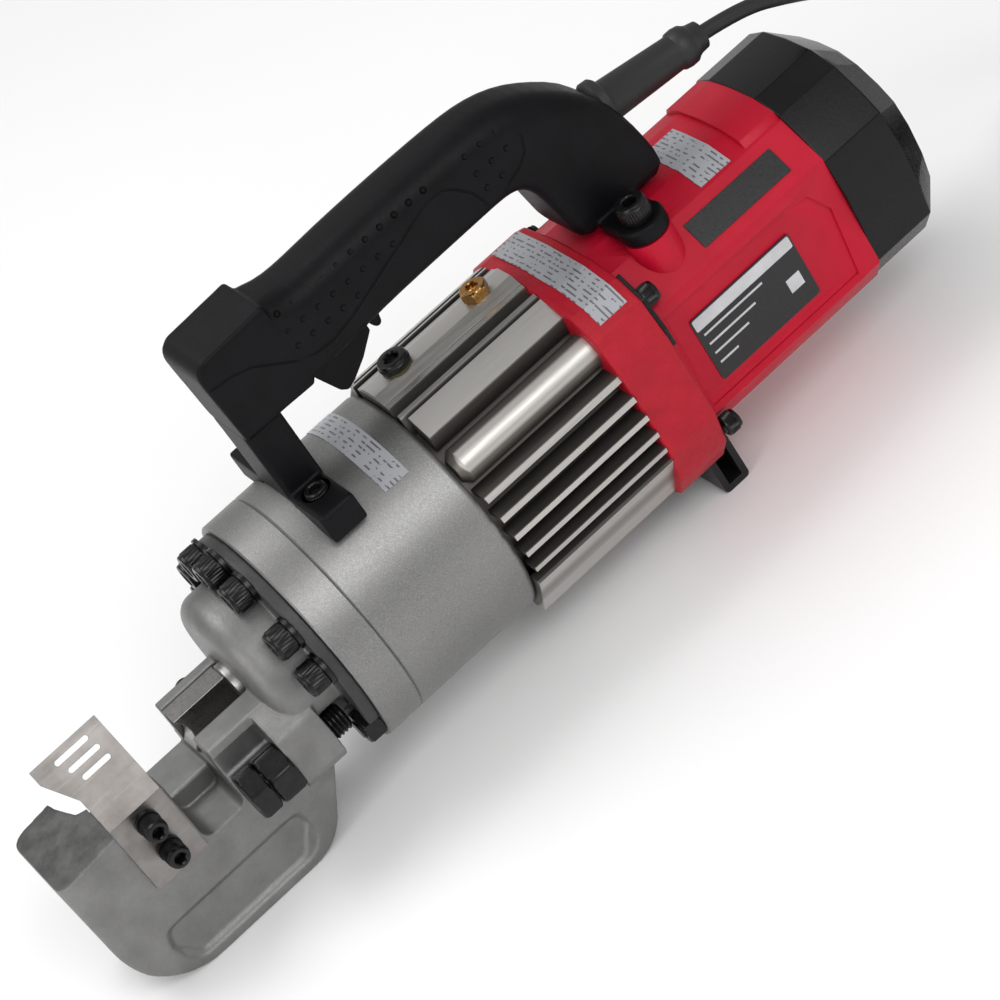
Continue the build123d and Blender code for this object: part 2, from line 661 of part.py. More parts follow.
BOOT_FROM = (184.0, 0.0, 80.5)
BOOT_TO = (233.0, 0.0, 74.5)
CORD_Z = BENCH_Z + CORD_D / 2
ROUTE = [BOOT_TO, (252, 0, 71.4), (271, 0.5, 61.5), (290, 3, 48.5), (311, 6, 31), (332.5, 10, 11.5),
         (354.5, 13, -9), (373, 12, -30.5), (385.5, 4, -48), (392.5, -11, -60), (395, -29, CORD_Z),
         (393, -46, CORD_Z)]
COIL_X, COIL_Y = 355.0, -36.0
COIL_R = 33.0
COIL_BAND = 9.0
COIL_TOP = BENCH_Z + 4 * CORD_D
TAIL_R = 34.5
TAIL_STEP = 27.5
TAIL_RISE = [-2, 2.6, 6, 9, 9]
PLUG_TURN = -131.7
PLUG_L, PLUG_W, PLUG_H = 36.0, 28.0, 18.0


def strain_relief():
    """Tapered rubber sleeve held in the handle's rear wall."""
    start, end = Vector(*BOOT_FROM), Vector(*BOOT_TO)
    spine = Plane(origin=start, z_dir=(end - start).normalized())
    length = (end - start).length
    upward = (Align.CENTER, Align.CENTER, Align.MIN)
    sleeve = spine * Cone(7.9, 6.2, length, align=upward)
    return sleeve + spine * Pos(0, 0, length - 5) * Cylinder(7.0, 4.4, align=upward)


def tangent_arc_path(points):
    """Straight runs joined by tangent arcs as large as the runs allow; prints the arcs' radii."""
    spots = [Vector(*p) for p in points]
    radii = []
    for before, here, after in zip(spots, spots[1:], spots[2:]):
        half_turn = math.radians((here - before).get_angle(after - here)) / 2
        shorter = min((here - before).length, (after - here).length)
        radii.append(0.45 * shorter / math.tan(half_turn))
    print("arc radii", [round(r) for r in radii])
    return FilletPolyline(*points, radius=radii)


def cord_tube(points):
    """Round tube along a route; prints its volume against section times length."""
    path = tangent_arc_path(points)
    start = Plane(origin=path @ 0, z_dir=path % 0)
    tube = sweep(start * Circle(CORD_D / 2), path=path)
    print("tube", round(path.length), round(tube.volume), round(math.pi * CORD_D ** 2 / 4 * path.length))
    return tube


def power_cord():
    """The lead from the handle down to its coil."""
    return cord_tube(ROUTE)


def on_coil(along, across, height):
    """A point given along the plug, across it and above the coil's top."""
    turn = math.radians(PLUG_TURN)
    x = COIL_X + along * math.cos(turn) - across * math.sin(turn)
    y = COIL_Y + along * math.sin(turn) + across * math.cos(turn)
    return (x, y, COIL_TOP + height)


def tail_route():
    """The lead's last half turn on top of the coil, which ends at the plug's rear face."""
    corners = [90 + TAIL_STEP * (k + 0.5) for k in (3, 2, 1, 0)]
    flat = [(TAIL_R * math.cos(math.radians(a)) - 5, TAIL_R * math.sin(math.radians(a)) - 4) for a in corners]
    flat.append((flat[-1][0] + 16.5, flat[-1][1]))
    return [on_coil(a, b, rise) for (a, b), rise in zip(flat, TAIL_RISE)]


def cord_tail():
    """Last stretch of the lead, from the coil's top up to the plug."""
    return cord_tube(tail_route())


def cord_coil(lead, tail):
    """Outer form of the coiled rest of the lead, which both ends run into."""
    outer = rod_z(BENCH_Z, COIL_TOP, COIL_R + COIL_BAND, COIL_X, COIL_Y)
    coil = outer - rod_z(BENCH_Z - 1, COIL_TOP + 1, COIL_R - COIL_BAND, COIL_X, COIL_Y)
    return max((coil - lead - tail).solids(), key=lambda solid: solid.volume)


def plug_plane():
    """Plane at the plug's rear face, Z along the lead."""
    return Plane(origin=tail_route()[-1], x_dir=(0, 0, 1),
                 z_dir=(math.cos(math.radians(PLUG_TURN)), math.sin(math.radians(PLUG_TURN)), 0))


def plug_body():
    """Moulded mains plug lying on the coil."""
    body = Pos(0, 0, PLUG_L / 2) * Box(PLUG_H, PLUG_W, PLUG_L)
    body = fillet(body.edges().filter_by(Axis.Z), 6)
    return plug_plane() * body


def plug_pins():
    """Three flat pins of the plug."""
    pins = []
    for side in (-1, 1):
        pin = Pos(2.5, side * 6.9, PLUG_L + 8) * Rot(0, 0, side * 30) * Box(6.3, 1.6, 16)
        pins.append(plug_plane() * pin)
    pins.append(plug_plane() * Pos(-5, 0, PLUG_L + 8) * Box(6.3, 1.6, 16))
    return Compound(pins)


# ---------------------------------------------------------------- plates and labels

def nameplate():
    """Rating plate in the motor's side panel."""
    return block(158.5, 208, -41.1, -40.7, -17, 12.5)


def badge():
    """Small dark badge on the motor's shoulder."""
    high, low = Vector(0, -27, 41.5), Vector(0, -42.5, 27.5)
    middle = (low + high) / 2
    outward = (0, low.Z - high.Z, high.Y - low.Y)
    face = Plane(origin=(200.5, middle.Y, middle.Z), x_dir=(1, 0, 0), z_dir=outward)
    return face * Box(43, 11.5, 0.5, align=(Align.CENTER, Align.CENTER, Align.MIN))


def wrapped_label(x0, x1, radius, start, stop):
    """Thin label around the X axis between two angles, taken from +Z towards -Y."""
    ring = rod_x(x0, x1, radius + 0.3) - rod_x(x0 - 1, x1 + 1, radius)
    far = 3 * radius
    wedge = [(0, 0)] + [polar(far, angle) for angle in (start, (start + stop) / 2, stop)]
    return ring & plate_x(wedge, x0 - 1, x1 + 1)


def housing_label():
    """Label over the top of the pump housing."""
    return wrapped_label(35, 46, BODY_R, -30, 38)


def draped_label(x0, x1, line):
    """Thin label that follows a line of points in Y and Z across the top of the tool."""
    raised = [(y, z + LABEL_THICK) for y, z in reversed(line)]
    return plate_x(line + raised, x0, x1)


def motor_label():
    """Label across the top of the motor case."""
    return draped_label(194, 209, [(9, 46.2), (0, 46.52), (-14, 46.02), (-25.5, 42.05)])


def band_label():
    """Label over the top of the flange."""
    return draped_label(129, 142, [(22, 49.75), (0, 51.02), (-24, 49.62), (-38, 45.52), (-44.5, 40.1)])


if __name__ == "__main__":
    os.makedirs("parts", exist_ok=True)
    save("cutter_head", cutter_head())
    save("fixed_cutter", fixed_cutter())
    save("moving_cutter", moving_cutter())
    save("moving_cutter_screw", moving_cutter_screw())
    save("guard_plate", guard_plate())
    save("guard_screws", guard_screws())
    save("guard_washers", guard_washers())
    save("stopper_bolt", stopper_bolt())
    save("stopper_locknut", stopper_locknut())
    save("cutter_guide_screw", cutter_guide_screw())
    save("head_screws", head_screws())
    save("head_washers", head_washers())
    save("head_studs", head_studs())
    save("front_ring", front_ring())
    save("pump_housing", pump_housing())
    save("piston", piston())
    save("piston_seal", piston_seal())
    save("return_spring", return_spring())
    save("pump_block", pump_block())
    save("pump_plunger", pump_plunger())
    save("plunger_spring", plunger_spring())
    save("return_valve", return_valve())
    save("gear_housing", gear_housing())
    save("oil_plug", oil_plug())
    save("oil_plug_seal", oil_plug_seal())
    save("bleed_screw", bleed_screw())
    save("eccentric_shaft", eccentric_shaft())
    save("needle_bearing", needle_bearing())
    save("shaft_bearings", shaft_bearings())
    save("bearing_bridge", bearing_bridge())
    save("motor_flange", motor_flange())
    save("motor_housing", motor_housing())
    save("tail_cap", tail_cap())
    save("stator", stator())
    save("armature", armature())
    save("commutator", commutator())
    save("cooling_fan", cooling_fan())
    save("motor_bearings", motor_bearings())
    save("brush_holders", brush_holders())
    save("carbon_brushes", carbon_brushes())
    save("support_foot", support_foot())
    save("foot_screws", foot_screws())
    save("band_screws", band_screws())
    save("handle_left", handle_half(-1))
    save("handle_right", handle_half(1))
    save("trigger", trigger())
    save("trigger_spring", trigger_spring())
    save("switch_module", switch_module())
    save("front_handle_screws", front_handle_screws())
    save("rear_handle_screws", rear_handle_screws())
    save("strain_relief", strain_relief())
    lead = power_cord()
    tail = cord_tail()
    save("power_cord", lead)
    save("cord_coil", cord_coil(lead, tail))
    save("cord_tail", tail)
    save("plug_body", plug_body())
    save("plug_pins", plug_pins())
    save("nameplate", nameplate())
    save("badge", badge())
    save("housing_label", housing_label())
    save("case_labels", Compound([motor_label(), band_label()]))
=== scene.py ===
import json
import math

import bmesh
import bpy
from mathutils import Matrix, Vector

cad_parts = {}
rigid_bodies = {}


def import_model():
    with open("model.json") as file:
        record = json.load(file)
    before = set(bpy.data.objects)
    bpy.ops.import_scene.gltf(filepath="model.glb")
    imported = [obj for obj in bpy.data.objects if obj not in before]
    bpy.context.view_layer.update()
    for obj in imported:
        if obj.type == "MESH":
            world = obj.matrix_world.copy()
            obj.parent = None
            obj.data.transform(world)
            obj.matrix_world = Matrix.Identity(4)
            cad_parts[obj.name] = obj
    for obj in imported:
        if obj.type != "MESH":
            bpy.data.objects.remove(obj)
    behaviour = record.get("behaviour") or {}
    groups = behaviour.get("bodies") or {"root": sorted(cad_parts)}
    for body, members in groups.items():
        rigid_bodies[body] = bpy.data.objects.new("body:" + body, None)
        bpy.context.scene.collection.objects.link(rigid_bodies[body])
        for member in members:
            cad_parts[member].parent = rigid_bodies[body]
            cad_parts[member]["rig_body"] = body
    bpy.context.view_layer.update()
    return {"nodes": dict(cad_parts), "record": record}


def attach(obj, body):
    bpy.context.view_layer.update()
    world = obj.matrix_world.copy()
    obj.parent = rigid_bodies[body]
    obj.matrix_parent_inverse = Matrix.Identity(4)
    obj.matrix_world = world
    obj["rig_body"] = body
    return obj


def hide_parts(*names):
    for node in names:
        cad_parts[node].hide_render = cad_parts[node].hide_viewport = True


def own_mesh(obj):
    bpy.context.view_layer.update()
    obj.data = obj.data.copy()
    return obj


# Rebar cutter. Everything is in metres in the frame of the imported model: +X towards the motor's tail,
# +Z up, -Y the side with the rating plate. AXIS_Z is the height of the hydraulic cylinder's axis.

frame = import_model()
NODES = frame["nodes"]
MM = 0.001
SHIFT_X = -65.75
SHIFT_Z = 67.5
AXIS_Z = SHIFT_Z * MM


def at(x, y, z):
    """A point given in the cylinder's own frame, in millimetres, as a place in the row frame."""
    return Vector(((x + SHIFT_X) * MM, y * MM, (z + SHIFT_Z) * MM))


# ---------------------------------------------------------------- materials

class Mat:
    """A node material built step by step."""

    def __init__(self, name, color, metallic=0.0, rough=0.5, spec=0.5, coat=0.0):
        self.mat = bpy.data.materials.new(name)
        self.mat.use_nodes = True
        self.nodes = self.mat.node_tree.nodes
        self.links = self.mat.node_tree.links
        self.bsdf = self.nodes["Principled BSDF"]
        self.bsdf.inputs["Base Color"].default_value = (*color, 1)
        self.bsdf.inputs["Metallic"].default_value = metallic
        self.bsdf.inputs["Roughness"].default_value = rough
        self.bsdf.inputs["Specular IOR Level"].default_value = spec
        self.bsdf.inputs["Coat Weight"].default_value = coat
        self.coord = self.nodes.new("ShaderNodeTexCoord").outputs["Object"]

    def new(self, kind, **values):
        node = self.nodes.new(kind)
        for key, value in values.items():
            setattr(node, key, value)
        return node

    def noise(self, scale, detail=3.0, rough=0.6, stretch=(1, 1, 1)):
        """Fractal noise in the object's own space; scale is in features per metre."""
        mapping = self.new("ShaderNodeMapping")
        mapping.inputs["Scale"].default_value = stretch
        self.links.new(self.coord, mapping.inputs["Vector"])
        tex = self.new("ShaderNodeTexNoise")
        tex.inputs["Scale"].default_value = scale
        tex.inputs["Detail"].default_value = detail
        tex.inputs["Roughness"].default_value = rough
        self.links.new(mapping.outputs["Vector"], tex.inputs["Vector"])
        return tex.outputs["Fac"]

    def ramp(self, fac, low, high, at_low=0.0, at_high=1.0):
        """Maps a value linearly, clamped."""
        node = self.new("ShaderNodeMapRange")
        node.inputs["From Min"].default_value = low
        node.inputs["From Max"].default_value = high
        node.inputs["To Min"].default_value = at_low
        node.inputs["To Max"].default_value = at_high
        self.links.new(fac, node.inputs["Value"])
        return node.outputs["Result"]

    def math(self, op, a, b=None):
        node = self.new("ShaderNodeMath", operation=op)
        for socket, value in zip(node.inputs, (a, b)):
            if value is None:
                continue
            if isinstance(value, (int, float)):
                socket.default_value = value
            else:
                self.links.new(value, socket)
        return node.outputs[0]

    def mix(self, fac, a, b):
        """Mixes two colours or colour outputs."""
        node = self.new("ShaderNodeMix", data_type="RGBA")
        self.links.new(fac, node.inputs["Factor"])
        for socket, value in ((node.inputs[6], a), (node.inputs[7], b)):
            if isinstance(value, tuple):
                socket.default_value = (*value, 1)
            else:
                self.links.new(value, socket)
        return node.outputs[2]

    def color(self, output):
        self.links.new(output, self.bsdf.inputs["Base Color"])
        return self

    def rough(self, output):
        self.links.new(output, self.bsdf.inputs["Roughness"])
        return self

    def bump(self, height, distance, strength=1.0):
        node = self.new("ShaderNodeBump")
        node.inputs["Distance"].default_value = distance
        node.inputs["Strength"].default_value = strength
        self.links.new(height, node.inputs["Height"])
        if self.bsdf.inputs["Normal"].is_linked:
            self.links.new(self.bsdf.inputs["Normal"].links[0].from_socket, node.inputs["Normal"])
        self.links.new(node.outputs["Normal"], self.bsdf.inputs["Normal"])
        return self

    def place(self):
        """X, Y and Z of the surface point."""
        split = self.new("ShaderNodeSeparateXYZ")
        self.links.new(self.coord, split.inputs[0])
        return split.outputs


def mottled(name, dark, pale, scale, grain, metallic, rough_low, rough_high, depth, spec=0.5, coat=0.0):
    """A surface whose colour and gloss drift a little, over a fine grain."""
    m = Mat(name, pale, metallic, rough_low, spec, coat)
    drift = m.noise(scale, 4)
    m.color(m.mix(m.ramp(drift, 0.3, 0.7), dark, pale))
    m.rough(m.ramp(m.noise(grain / 3, 3), 0.3, 0.7, rough_low, rough_high))
    m.bump(m.noise(grain, 2), depth)
    return m


def cast_steel():
    m = mottled("cast_steel", (0.17, 0.168, 0.166), (0.24, 0.238, 0.235), 60, 2600, 0.7, 0.38, 0.52,
                0.00012)
    m.bump(m.noise(260, 3), 0.00022, 0.5)
    x, y, z = m.place()
    normal = m.new("ShaderNodeSeparateXYZ")
    m.links.new(m.new("ShaderNodeNewGeometry").outputs["Normal"], normal.inputs[0])
    level = m.math("MULTIPLY", m.ramp(normal.outputs[2], 0.75, 0.9), m.ramp(z, 0.0655, 0.0665))
    milled = m.math("MULTIPLY", level, m.ramp(x, -0.150, -0.152))
    cast = m.bsdf.inputs["Base Color"].links[0].from_socket
    smear = m.mix(m.ramp(m.noise(120, 4), 0.35, 0.65), (0.07, 0.072, 0.07), (0.13, 0.13, 0.125))
    finish = m.mix(milled, cast, smear)
    # painted shade: the flange's rim around the screw heads is darkened almost to black, standing in for
    # the shadow that lies there
    height = m.math("SUBTRACT", z, AXIS_Z)
    radius = m.math("SQRT", m.math("ADD", m.math("MULTIPLY", y, y), m.math("MULTIPLY", height, height)))
    rim = m.math("MULTIPLY", m.ramp(radius, 0.036, 0.042), m.ramp(x, -0.0885, -0.0865))
    m.color(m.mix(m.math("MULTIPLY", rim, 0.85), finish, (0.03, 0.03, 0.031)))
    return m.mat


def black_oxide():
    m = mottled("black_oxide", (0.004, 0.004, 0.0045), (0.01, 0.01, 0.011), 300, 3000, 0.3, 0.24, 0.34,
                0.000006, 0.4)
    return m.mat


def fin_aluminium():
    """Brown-grey extruded aluminium, lighter along the fins' tips, with painted shade darkening the gaps
    between the fins.
    """
    m = Mat("fin_aluminium", (0.2, 0.19, 0.18), 0.8, 0.4)
    drift = m.noise(50, 3, stretch=(0.15, 1, 1))
    plain_metal = m.mix(m.ramp(drift, 0.3, 0.7), (0.13, 0.12, 0.108), (0.19, 0.176, 0.16))
    x, y, z = m.place()
    height = m.math("SUBTRACT", z, AXIS_Z)
    squared = m.math("ADD", m.math("MULTIPLY", y, y), m.math("MULTIPLY", height, height))
    radius = m.math("SQRT", squared)
    tips = m.ramp(radius, 0.0523, 0.0530)
    # painted shade: darker towards the fins' roots, standing in for the shadow in the gaps between the fins
    fin_gap_shade = m.ramp(radius, 0.0455, 0.0500, 1.0, 0.0)
    metal = m.mix(m.math("MULTIPLY", fin_gap_shade, 0.75), plain_metal, (0.04, 0.036, 0.032))
    m.color(m.mix(tips, metal, (0.5, 0.485, 0.46)))
    m.rough(m.ramp(m.noise(900, 2, stretch=(0.05, 1, 1)), 0.3, 0.7, 0.36, 0.48))
    m.bump(m.noise(1800, 2, stretch=(0.04, 1, 1)), 0.00003)
    return m.mat


def red_casting():
    m = mottled("red_casting", (0.36, 0.003, 0.014), (0.45, 0.005, 0.02), 70, 2200, 0.0, 0.45, 0.6,
                0.00022, 0.3)
    return m.mat


def red_plastic():
    m = mottled("red_plastic", (0.43, 0.003, 0.02), (0.5, 0.005, 0.026), 50, 2600, 0.0, 0.38, 0.46,
                0.00003, 0.22)
    return m.mat


def black_plastic():
    m = mottled("black_plastic", (0.0022, 0.0022, 0.003), (0.0042, 0.0042, 0.0055), 80, 2400, 0.0, 0.42,
                0.52, 0.00007, 0.14)
    return m.mat


def brushed_steel():
    m = Mat("stainless", (0.2, 0.19, 0.18), 1.0, 0.3)
    m.color(m.mix(m.ramp(m.noise(90, 3), 0.35, 0.65), (0.19, 0.176, 0.166), (0.26, 0.244, 0.232)))
    m.rough(m.ramp(m.noise(700, 3, stretch=(0.05, 1, 1)), 0.3, 0.7, 0.26, 0.38))
    m.bump(m.noise(1500, 2, stretch=(0.04, 1, 1)), 0.000006)
    return m.mat


def cap_plastic():
    return mottled("cap_plastic", (0.002, 0.002, 0.0026), (0.004, 0.004, 0.005), 80, 1800, 0.0, 0.24, 0.3,
                   0.000006, 0.25).mat


def flake_paint():
    """Silver paint with fine bright flakes."""
    m = mottled("silver_paint", (0.19, 0.189, 0.186), (0.225, 0.223, 0.219), 26, 3500, 0.8, 0.4, 0.48,
                0.00002)
    body = m.bsdf.inputs["Base Color"].links[0].from_socket
    sparkle = m.ramp(m.noise(2600, 1, 0.9), 0.42, 0.68)
    m.color(m.mix(sparkle, body, (0.31, 0.308, 0.303)))
    return m.mat


LABEL_ROWS = 3200.0


def printed_label():
    """A pale grey label with rows of short dark bars and no lettering."""
    m = mottled("label_pale", (0.34, 0.345, 0.37), (0.38, 0.385, 0.41), 30, 2000, 0.0, 0.3, 0.36, 0.0)
    paper = m.bsdf.inputs["Base Color"].links[0].from_socket
    x, y, z = m.place()
    rows = m.ramp(m.math("SINE", m.math("MULTIPLY", x, LABEL_ROWS)), 0.35, 0.5)
    words = m.ramp(m.noise(420, 1, 0.5, stretch=(0.9, 1, 0.3)), 0.5, 0.52)
    m.color(m.mix(m.math("MULTIPLY", rows, words), paper, (0.12, 0.12, 0.135)))
    return m.mat


def plain(name, color, metallic, rough_low, rough_high, grain=1800, depth=0.00003):
    dark = tuple(c * 0.78 for c in color)
    return mottled(name, dark, color, 90, grain, metallic, rough_low, rough_high, depth).mat


MATERIALS = {
    "cast_steel": cast_steel(),
    "tool_steel": plain("tool_steel", (0.3, 0.29, 0.28), 1.0, 0.24, 0.36),
    "stainless": brushed_steel(),
    "black_oxide": black_oxide(),
    "silver_paint": flake_paint(),
    "aluminium_fins": fin_aluminium(),
    "red_casting": red_casting(),
    "red_plastic": red_plastic(),
    "black_plastic": black_plastic(),
    "black_steel": plain("black_steel", (0.012, 0.012, 0.013), 0.3, 0.3, 0.45),
    "brass": plain("brass", (0.5, 0.27, 0.09), 1.0, 0.22, 0.36),
    "seal": plain("seal", (0.05, 0.045, 0.01), 0.0, 0.4, 0.5),
    "rubber": plain("rubber", (0.012, 0.012, 0.013), 0.0, 0.45, 0.6),
    "steel": plain("steel", (0.42, 0.41, 0.4), 1.0, 0.25, 0.4),
    "copper": plain("copper", (0.6, 0.27, 0.14), 1.0, 0.3, 0.45),
    "laminations": plain("laminations", (0.2, 0.17, 0.14), 0.6, 0.4, 0.6),
    "carbon": plain("carbon", (0.02, 0.02, 0.02), 0.1, 0.6, 0.75),
    "fan_plastic": plain("fan_plastic", (0.03, 0.03, 0.034), 0.0, 0.4, 0.5),
    "label_pale": printed_label(),
    "cap_plastic": cap_plastic(),
    "plate_white": plain("plate_white", (0.6, 0.6, 0.62), 0.0, 0.3, 0.4),
    "label_dark": plain("label_dark", (0.006, 0.006, 0.007), 0.0, 0.25, 0.35),
}

SLOT_OF = {s["node"]: s["material_slot"] for s in frame["record"]["subparts"]}
for name, obj in NODES.items():
    obj.data.materials.clear()
    obj.data.materials.append(MATERIALS["cap_plastic" if name == "tail_cap" else SLOT_OF[name]])


# ---------------------------------------------------------------- shaping helpers

def tool_object(name, bm):
    """A mesh object made from a bmesh, with welded points and outward normals."""
    bmesh.ops.remove_doubles(bm, verts=bm.verts, dist=1e-6)
    bmesh.ops.recalc_face_normals(bm, faces=bm.faces)
    mesh = bpy.data.meshes.new(name)
    bm.to_mesh(mesh)
    bm.free()
    obj = bpy.data.objects.new(name, mesh)
    bpy.context.scene.collection.objects.link(obj)
    return obj


def bake(obj):
    """Applies the object's modifiers to its mesh."""
    graph = bpy.context.evaluated_depsgraph_get()
    done = bpy.data.meshes.new_from_object(obj.evaluated_get(graph))
    obj.modifiers.clear()
    old = obj.data
    obj.data = done
    bpy.data.meshes.remove(old)
    return obj


def discard(obj):
    bpy.data.objects.remove(obj)


def rounded(obj, width, segments=3, angle=16):
    """Rounds every edge sharper than an angle."""
    weld = obj.modifiers.new("weld", "WELD")
    weld.merge_threshold = 0.00002
    flat = obj.modifiers.new("flat", "DECIMATE")
    flat.decimate_type = "DISSOLVE"
    flat.angle_limit = math.radians(0.6)
    bevel = obj.modifiers.new("bevel", "BEVEL")
    bevel.width = width * MM
    bevel.segments = segments
    bevel.limit_method = "ANGLE"
    bevel.angle_limit = math.radians(angle)
    bevel.harden_normals = True
    bevel.use_clamp_overlap = True
    weighted = obj.modifiers.new("weighted", "WEIGHTED_NORMAL")
    weighted.weight = 90
    return obj


def soften(obj, voxel, rounds, factor=0.5):
    """Turns the form into one skin of even quads, then relaxes it, as a casting or moulding is rounded."""
    remesh = obj.modifiers.new("remesh", "REMESH")
    remesh.mode = "VOXEL"
    remesh.voxel_size = voxel * MM
    smooth = obj.modifiers.new("smooth", "SMOOTH")
    smooth.iterations = rounds
    smooth.factor = factor
    bake(obj)
    obj.data.shade_smooth()
    return obj


def carve(obj, cutter, operation="DIFFERENCE"):
    """Boolean with another object, which is used up."""
    boolean = obj.modifiers.new("boolean", "BOOLEAN")
    boolean.operation = operation
    boolean.solver = "EXACT"
    boolean.object = cutter
    bake(obj)
    discard(cutter)
    return obj


def tube(name, points, radius, sides=8):
    """A round bar along a row of points."""
    rings = []
    for i, point in enumerate(points):
        ahead = points[min(i + 1, len(points) - 1)] - points[max(i - 1, 0)]
        across = ahead.cross(Vector((0, 1, 0))).normalized()
        up = ahead.cross(across).normalized()
        rings.append([point + (across * math.cos(math.tau * k / sides)
                               + up * math.sin(math.tau * k / sides))
                      * radius * MM for k in range(sides)])
    return tool_object(name, loft(rings))


def copy_node(name, *nodes):
    """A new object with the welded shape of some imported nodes."""
    bm = bmesh.new()
    for node in nodes:
        bm.from_mesh(NODES[node].data)
    bmesh.ops.remove_doubles(bm, verts=bm.verts, dist=2e-5)
    return tool_object(name, bm)


def slab(points, y0, y1, bm=None):
    """A side outline in X and Z swept across Y, in a bmesh."""
    bm = bm or bmesh.new()
    near = [bm.verts.new(at(x, y0, z)) for x, z in points]
    far = [bm.verts.new(at(x, y1, z)) for x, z in points]
    bm.faces.new(near)
    bm.faces.new(far[::-1])
    for i in range(len(points)):
        j = (i + 1) % len(points)
        bm.faces.new((near[i], far[i], far[j], near[j]))
    return bm


def prism(points, x0, x1, bm=None):
    """A cross-section in Y and Z swept along X, in a bmesh."""
    return loft([[at(x, y, z) for y, z in points] for x in (x0, x1)], bm)


def box_outline(x0, x1, z0, z1):
    return [(x0, z0), (x1, z0), (x1, z1), (x0, z1)]


def loft(rings, bm=None, caps=True):
    """A skin through rings of points that all have the same count."""
    bm = bm or bmesh.new()
    rows = [[bm.verts.new(p) for p in ring] for ring in rings]
    count = len(rows[0])
    for a, b in zip(rows, rows[1:]):
        for i in range(count):
            j = (i + 1) % count
            bm.faces.new((a[i], a[j], b[j], b[i]))
    if caps:
        bm.faces.new(rows[0][::-1])
        bm.faces.new(rows[-1])
    return bm


COUNT = 72


def hexagon(flats, limit=1000.0):
    """Radius of a hexagon in each direction, cut off at a limit."""
    def radius(angle):
        return min(limit,
                   flats / 2 / math.cos((angle + math.radians(30)) % math.radians(60) - math.radians(30)))
    return radius


def knurled(radius, depth=0.3):
    """Radius of a knurled rim in each direction."""
    def at_angle(angle):
        return radius - depth * (round(angle * COUNT / math.tau) % 2)
    return at_angle


def turned(profile, start, axis, bm=None, bore=False):
    """A body about an axis; the profile lists (distance along it, radius or rule) in millimetres."""
    axis = Vector(axis).normalized()
    side = Vector((0, 0, 1)) if abs(axis.y) > 0.9 else Vector((0, 1, 0))
    side = (side - axis * side.dot(axis)).normalized()
    other = axis.cross(side)
    rings = []
    for along, rule in profile:
        middle = Vector(start) + axis * along * MM
        ring = []
        for i in range(COUNT):
            angle = math.tau * i / COUNT
            radius = max(rule(angle) if callable(rule) else rule, 0.001) * MM
            ring.append(middle + side * radius * math.cos(angle) + other * radius * math.sin(angle))
        rings.append(ring)
    if bore:
        rings.append(rings[0])
    return loft(rings, bm, caps=not bore)


def thread(start, stop, radius, pitch, depth):
    """Profile of a screw thread as a row of grooves."""
    steps = max(2, round((stop - start) / pitch))
    profile = []
    for i in range(steps):
        here = start + (stop - start) * i / steps
        profile += [(here, radius - depth), (here + pitch * 0.42, radius), (here + pitch * 0.58, radius)]
    return profile + [(stop, radius - depth)]


def cap_screw(seat, axis, head_r, head_h, socket, shank_r, shank_l, bm):
    """A socket head screw: threaded shank below its seat, knurled head with a hexagon socket above it."""
    profile = [(-shank_l, shank_r - 0.7)] + thread(-shank_l + 0.4, -1.0, shank_r, 1.2, 0.5) + [(0, shank_r)]
    profile += [(0, head_r - 0.6), (0.3, head_r - 0.25), (0.7, head_r - 0.2), (0.9, knurled(head_r))]
    profile += [(head_h - 1.7, knurled(head_r)), (head_h - 1.5, head_r - 0.3),
                (head_h - 0.6, head_r - 0.35)]
    profile += [(head_h - 0.15, head_r - 0.65), (head_h, head_r - 1.0), (head_h, socket * 0.62)]
    profile += [(head_h - 0.5, hexagon(socket)), (head_h * 0.42, hexagon(socket)), (head_h * 0.36, 0.0)]
    return turned(profile, seat, axis, bm)


def crisp(obj, angle=32):
    """Smooth shading with the sharper edges kept."""
    obj.data.shade_smooth()
    obj.data.set_sharp_from_angle(angle=math.radians(angle))
    return obj


def finish_piece(obj, material, body="root", stands_for=()):
    """Gives a new piece its finish and the body it moves with."""
    obj.data.materials.clear()
    obj.data.materials.append(MATERIALS[material])
    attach(obj, body)
    if stands_for:
        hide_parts(*stands_for)
    return obj


# ---------------------------------------------------------------- camera, lights and floor

def look(camera_at, azimuth, elevation, roll):
    """The camera's pose from its place and the direction of its view, in degrees."""
    a, e, r = (math.radians(v) for v in (azimuth, elevation, roll))
    forward = Vector((math.sin(a) * math.cos(e), math.cos(a) * math.cos(e), -math.sin(e)))
    right = Vector((math.cos(a), -math.sin(a), 0))
    up = right.cross(forward)
    side = math.cos(r) * right + math.sin(r) * up
    top = -math.sin(r) * right + math.cos(r) * up
    rows = Matrix((side, top, -forward)).transposed()
    return Matrix.Translation(camera_at) @ rows.to_4x4()


camera = bpy.data.objects.new("camera", bpy.data.cameras.new("camera"))
bpy.context.scene.collection.objects.link(camera)
camera.matrix_world = look(Vector((-0.21055, -0.9543, 0.7363)), 12.9107, 35.0541, -34.9204)
camera.data.lens = 117.13
camera.data.sensor_width = 36.0
camera.data.clip_start = 0.05
camera.data.clip_end = 20
bpy.context.scene.camera = camera


def area_light(name, place, target, size, power, color=(1, 1, 1)):
    """A square soft light aimed at a point."""
    data = bpy.data.lights.new(name, "AREA")
    data.size = size
    data.energy = power
    data.color = color
    light = bpy.data.objects.new(name, data)
    bpy.context.scene.collection.objects.link(light)
    light.location = place
    light.rotation_euler = (Vector(target) - Vector(place)).to_track_quat("-Z", "Y").to_euler()
    return light


area_light("key", (0.2, -1.3, 1.25), (0, 0, 0.06), 0.85, 11)
area_light("top", (-0.35, 0.55, 1.5), (0, 0, 0.06), 1.0, 11)
area_light("fill", (-1.3, -0.6, 0.6), (-0.1, 0, 0.06), 0.7, 6)

world = bpy.data.worlds.new("world")
world.use_nodes = True
world.node_tree.nodes["Background"].inputs["Color"].default_value = (1, 1, 1, 1)
world.node_tree.nodes["Background"].inputs["Strength"].default_value = 0.5
bpy.context.scene.world = world
bpy.context.scene.view_settings.view_transform = "Standard"

